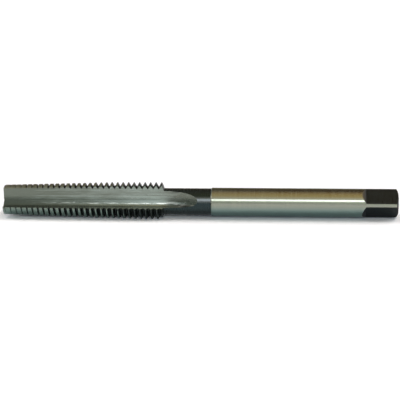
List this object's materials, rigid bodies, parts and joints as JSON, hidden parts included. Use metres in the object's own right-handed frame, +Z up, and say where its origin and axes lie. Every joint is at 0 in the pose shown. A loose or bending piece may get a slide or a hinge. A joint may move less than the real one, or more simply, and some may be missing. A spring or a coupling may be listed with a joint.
{
  "type": "nut tap",
  "caption": "Straight-fluted machine nut tap with a long tapered lead, a reduced neck, a slim cylindrical shank and a driving square.",
  "frame": {"origin": "on the tap axis, in the plane of the cutting end's face", "axes": "+X along the tap axis from the cutting end to the driving square; +Z up as the tap lies on two of its lands, with one flute facing down"},
  "size_m": [0.1245, 0.012, 0.0107],
  "materials": {
    "tool_steel": "hardened high speed steel: ground shank, thread and flutes, black oxide on the neck and square"
  },
  "bodies": {
    "root": {"nut_tap": "tool_steel"}
  },
  "joints": []
}
